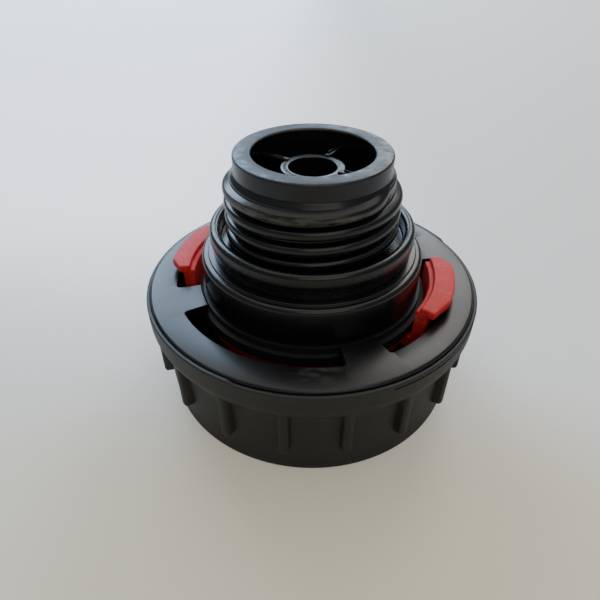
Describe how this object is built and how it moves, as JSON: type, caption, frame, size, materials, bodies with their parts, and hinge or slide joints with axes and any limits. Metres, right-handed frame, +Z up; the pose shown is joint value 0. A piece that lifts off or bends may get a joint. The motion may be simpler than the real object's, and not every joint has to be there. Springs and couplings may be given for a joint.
{
  "type": "tank cap",
  "caption": "Screw-in tank cap with a ribbed grip, hollow threaded neck with lip gasket, red hooked ratchet ring and a relief and vacuum breather valve.",
  "frame": {"origin": "centre of the grip's flat face, on the surface that the cap rests on", "axes": "+Z up the cap's axis towards the mouth of the neck, -Y towards the front of the picture"},
  "size_m": [0.09, 0.09, 0.0675],
  "materials": {
    "grip_plastic": "fine spark-eroded grain, matte charcoal",
    "plate_plastic": "satin black, lightly scuffed",
    "neck_plastic": "glossy moulded black with worn thread crests",
    "gasket_rubber": "smooth glossy black rubber",
    "red_plastic": "red with a spark-eroded grain",
    "valve_plastic": "smooth moulded",
    "spring_steel": "drawn wire"
  },
  "bodies": {
    "grip_shell": {"grip": "grip_plastic", "retaining_plate": "plate_plastic", "thrust_spring": "spring_steel"},
    "closure": {"closure_body": "neck_plastic", "valve_housing": "neck_plastic", "neck_gasket": "gasket_rubber", "valve_cover": "neck_plastic", "relief_spring": "spring_steel"},
    "ratchet": {"drive_ring": "red_plastic"},
    "relief": {"relief_valve": "valve_plastic", "valve_seal": "gasket_rubber", "vacuum_spring": "spring_steel"},
    "vacuum": {"vacuum_valve": "valve_plastic", "spring_clip": "spring_steel"}
  },
  "joints": [
    {"name": "free_turn", "type": "hinge", "parent": "grip_shell", "child": "closure", "pos_m": [0, 0, 0.03], "axis": [0, 0, 1], "range_deg": [-22, 6]},
    {"name": "ring_travel", "type": "slide", "parent": "closure", "child": "ratchet", "axis": [0, 0, -1], "range_m": [0, 0.0012], "stiffness_N_per_m": 2500, "springref_m": -0.004, "deforming": ["thrust_spring"]},
    {"name": "relief_lift", "type": "slide", "parent": "closure", "child": "relief", "axis": [0, 0, -1], "range_m": [0, 0.0025], "stiffness_N_per_m": 900, "springref_m": -0.004, "deforming": ["relief_spring"]},
    {"name": "vacuum_lift", "type": "slide", "parent": "relief", "child": "vacuum", "axis": [0, 0, 1], "range_m": [0, 0.0018], "stiffness_N_per_m": 60, "springref_m": -0.003, "deforming": ["vacuum_spring"]}
  ]
}
